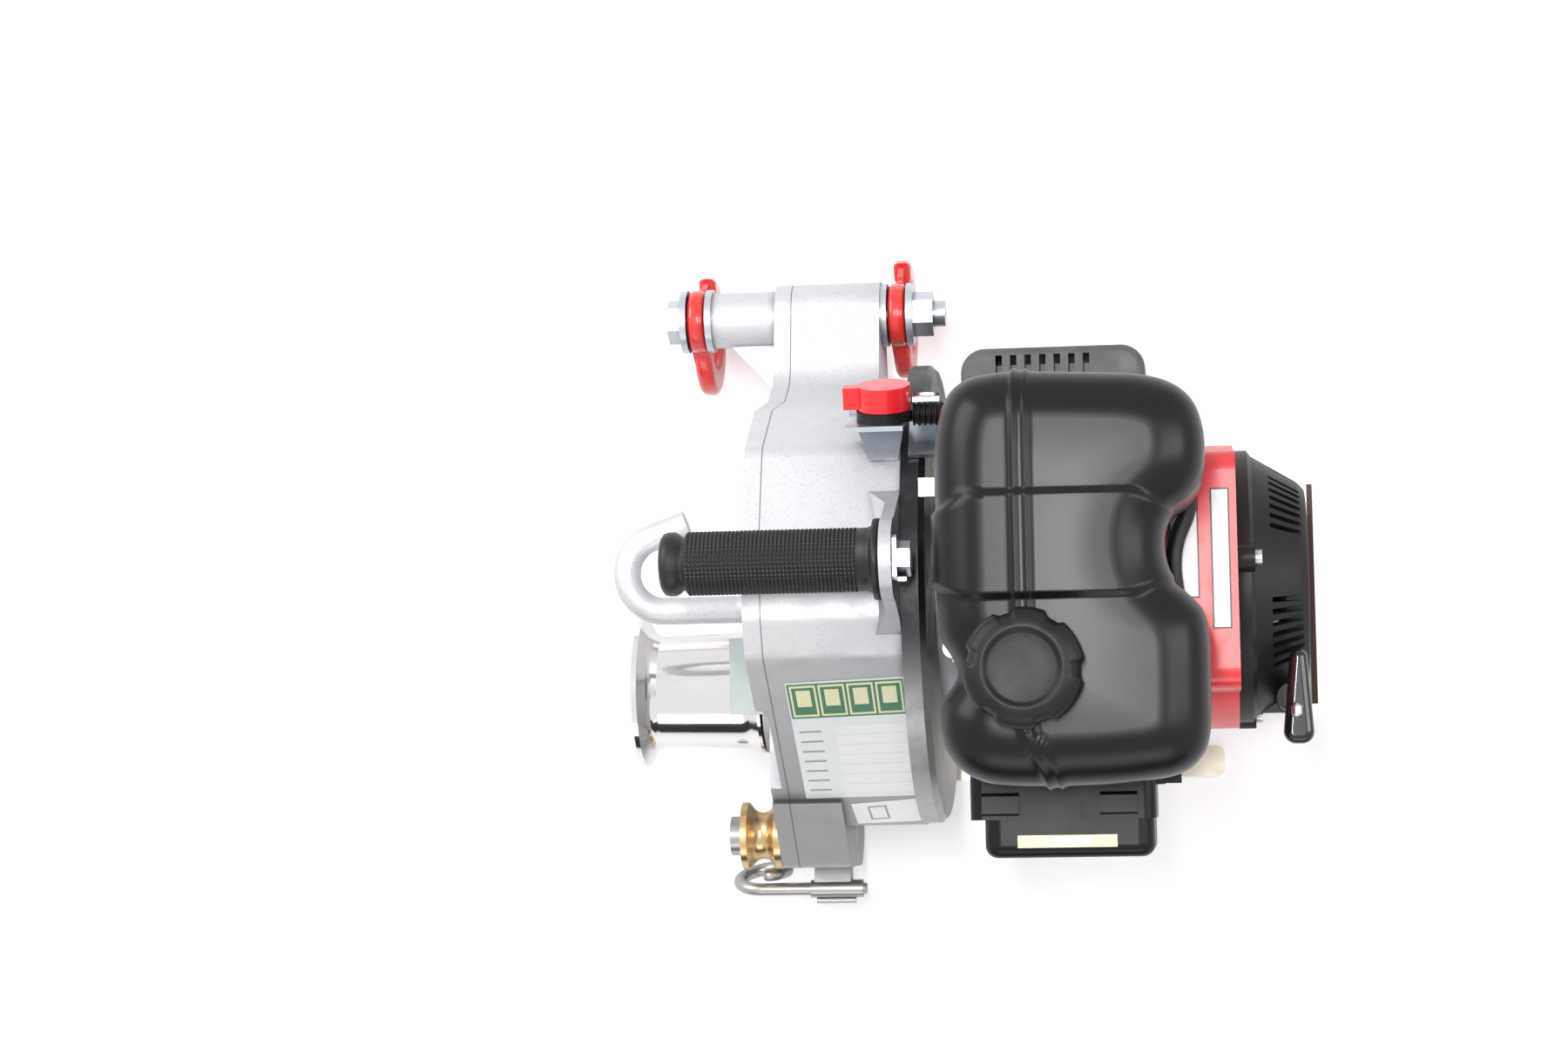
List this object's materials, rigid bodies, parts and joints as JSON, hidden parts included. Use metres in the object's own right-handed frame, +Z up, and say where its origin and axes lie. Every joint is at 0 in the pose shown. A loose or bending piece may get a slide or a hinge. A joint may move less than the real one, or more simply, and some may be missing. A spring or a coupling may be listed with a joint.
{
  "type": "engine-driven capstan winch",
  "caption": "Portable engine-driven capstan winch with a geared drum, guide roller, rope hooks, two sling hooks, a carrying grip and a base plate.",
  "frame": {"origin": "on the floor, below the middle of the engine's mounting face", "axes": "+Z up, +X from the gear housing to the recoil starter along the crank axis, +Y to the sling hooks, the rope comes in from -Y"},
  "size_m": [0.361, 0.3519, 0.363],
  "materials": {
    "cast_aluminium": "shot-blasted casting",
    "dark_aluminium": "black anodised, semi-gloss",
    "zinc_steel": "zinc plated",
    "bare_steel": "ground",
    "polished_steel": "polished",
    "plate_steel": "yellow passivated",
    "brass": "turned",
    "red_paint": "gloss paint",
    "dark_paint": "heat-proof matt paint",
    "sheet_steel": "pressed sheet",
    "black_rubber": "moulded",
    "black_plastic": "fine texture",
    "black_gloss_plastic": "gloss",
    "red_plastic": "gloss",
    "brown_strip": "moulded edge strip",
    "filter_foam": "oiled foam"
  },
  "bodies": {
    "frame": {"gear_housing": "cast_aluminium", "housing_cover": "cast_aluminium", "cover_bolts": "zinc_steel", "clutch_bell": "dark_aluminium", "shaft_bearings": "bare_steel", "drum_seal": "black_rubber", "rope_guard": "zinc_steel", "roller_bolt": "zinc_steel", "flat_washers": "zinc_steel", "anchor_bolt": "zinc_steel", "anchor_nut": "zinc_steel", "hook_bushes": "zinc_steel", "pigtail_sleeve": "zinc_steel", "sleeve_clip": "zinc_steel", "handle_core": "bare_steel", "handle_grip": "black_rubber", "handle_bolt": "zinc_steel", "lock_washer": "zinc_steel", "engine_block": "cast_aluminium", "cylinder": "cast_aluminium", "rocker_cover": "dark_paint", "spark_plug": "bare_steel", "carburettor": "black_plastic", "air_cleaner_base": "black_plastic", "air_filter": "filter_foam", "muffler": "sheet_steel", "muffler_guard": "dark_paint", "fuel_tank": "black_plastic", "fuel_hose": "black_rubber", "fan_shroud": "red_plastic", "starter_cover": "black_plastic", "starter_bolts": "zinc_steel", "switch_bracket": "zinc_steel", "switch_body": "black_plastic", "switch_conduit": "black_plastic", "conduit_bracket": "zinc_steel", "throttle_post": "zinc_steel", "base_plate": "plate_steel", "edge_strip": "brown_strip"},
    "drum": {"capstan_drum": "polished_steel", "output_gear": "bare_steel"},
    "second_shaft": {"second_gear_shaft": "bare_steel"},
    "first_shaft": {"first_gear_shaft": "bare_steel"},
    "clutch": {"clutch_drum": "bare_steel"},
    "crank": {"crankshaft": "bare_steel", "flywheel_fan": "black_plastic", "clutch_shoes": "bare_steel"},
    "pulley": {"recoil_pulley": "black_plastic"},
    "pull_grip": {"starter_grip": "black_gloss_plastic"},
    "roller": {"guide_roller": "brass"},
    "hook_left": {"anchor_hook_left": "red_paint"},
    "hook_right": {"anchor_hook_right": "red_paint"},
    "latch_left": {"hook_latch_left": "zinc_steel"},
    "latch_right": {"hook_latch_right": "zinc_steel"},
    "pigtail": {"rope_pigtail": "zinc_steel"},
    "switch_knob": {"stop_switch_knob": "red_plastic"},
    "throttle": {"throttle_lever": "zinc_steel"},
    "choke": {"choke_lever": "black_plastic"},
    "cap": {"fuel_cap": "black_plastic"},
    "air_cover": {"air_cleaner_cover": "black_plastic"}
  },
  "joints": [
    {"name": "drum_spin", "type": "hinge", "parent": "frame", "child": "drum", "pos_m": [-0.13, -0.047, 0.085], "axis": [1, 0, 0], "continuous": true},
    {"name": "second_shaft_spin", "type": "hinge", "parent": "frame", "child": "second_shaft", "pos_m": [-0.06, 0.02431, 0.10478], "axis": [1, 0, 0], "continuous": true},
    {"name": "first_shaft_spin", "type": "hinge", "parent": "frame", "child": "first_shaft", "pos_m": [-0.06, 0.02281, 0.15951], "axis": [1, 0, 0], "continuous": true},
    {"name": "clutch_spin", "type": "hinge", "parent": "frame", "child": "clutch", "pos_m": [-0.03, 0, 0.12], "axis": [1, 0, 0], "continuous": true},
    {"name": "crank_spin", "type": "hinge", "parent": "frame", "child": "crank", "pos_m": [0.06, 0, 0.12], "axis": [1, 0, 0], "continuous": true},
    {"name": "starter_pull", "type": "slide", "parent": "frame", "child": "pull_grip", "axis": [0, 0, 1], "range_m": [0, 0.5]},
    {"name": "pulley_spin", "type": "hinge", "parent": "frame", "child": "pulley", "pos_m": [0.175, 0, 0.12], "axis": [1, 0, 0], "range_deg": [-1200, 1200]},
    {"name": "roller_spin", "type": "hinge", "parent": "frame", "child": "roller", "pos_m": [-0.105, -0.125, 0.06], "axis": [1, 0, 0], "continuous": true},
    {"name": "hook_left_swing", "type": "hinge", "parent": "frame", "child": "hook_left", "pos_m": [-0.135, 0.154, 0.075], "axis": [1, 0, 0], "range_deg": [-60, 90]},
    {"name": "hook_right_swing", "type": "hinge", "parent": "frame", "child": "hook_right", "pos_m": [-0.024, 0.154, 0.075], "axis": [1, 0, 0], "range_deg": [-25, 90]},
    {"name": "latch_left_turn", "type": "hinge", "parent": "hook_left", "child": "latch_left", "pos_m": [-0.135, 0.1715, 0.0555], "axis": [1, 0, 0], "range_deg": [-35, 0], "stiffness_Nm_per_rad": 0.02, "springref_deg": 8.59},
    {"name": "latch_right_turn", "type": "hinge", "parent": "hook_right", "child": "latch_right", "pos_m": [-0.024, 0.17433, 0.05848], "axis": [1, 0, 0], "range_deg": [-35, 0], "stiffness_Nm_per_rad": 0.02, "springref_deg": 8.59},
    {"name": "pigtail_turn", "type": "hinge", "parent": "frame", "child": "pigtail", "pos_m": [-0.07, -0.1545, 0.045], "axis": [1, 0, 0], "range_deg": [-90, 0]},
    {"name": "switch_turn", "type": "hinge", "parent": "frame", "child": "switch_knob", "pos_m": [-0.0187, 0.0805, 0.226], "axis": [0, 0.9397, 0.342], "range_deg": [0, 60]},
    {"name": "throttle_turn", "type": "hinge", "parent": "frame", "child": "throttle", "pos_m": [0.024, 0.045, 0.237], "axis": [0, 0, 1], "range_deg": [-25, 0]},
    {"name": "choke_turn", "type": "hinge", "parent": "frame", "child": "choke", "pos_m": [0.11, -0.096, 0.182], "axis": [1, 0, 0], "range_deg": [0, 40]},
    {"name": "cap_turn", "type": "hinge", "parent": "frame", "child": "cap", "pos_m": [0.053, -0.048, 0.35], "axis": [0, 0, 1], "range_deg": [0, 180]},
    {"name": "air_cover_open", "type": "hinge", "parent": "frame", "child": "air_cover", "pos_m": [0.064, -0.117, 0.148], "axis": [1, 0, 0], "range_deg": [0, 80]}
  ],
  "couplings": [
    {"joint": "second_shaft_spin", "follows": "drum_spin", "ratio": -5.1667},
    {"joint": "first_shaft_spin", "follows": "drum_spin", "ratio": 23.846},
    {"joint": "clutch_spin", "follows": "drum_spin", "ratio": -110.06},
    {"joint": "pulley_spin", "follows": "starter_pull", "rad_per_m": 35.714}
  ]
}
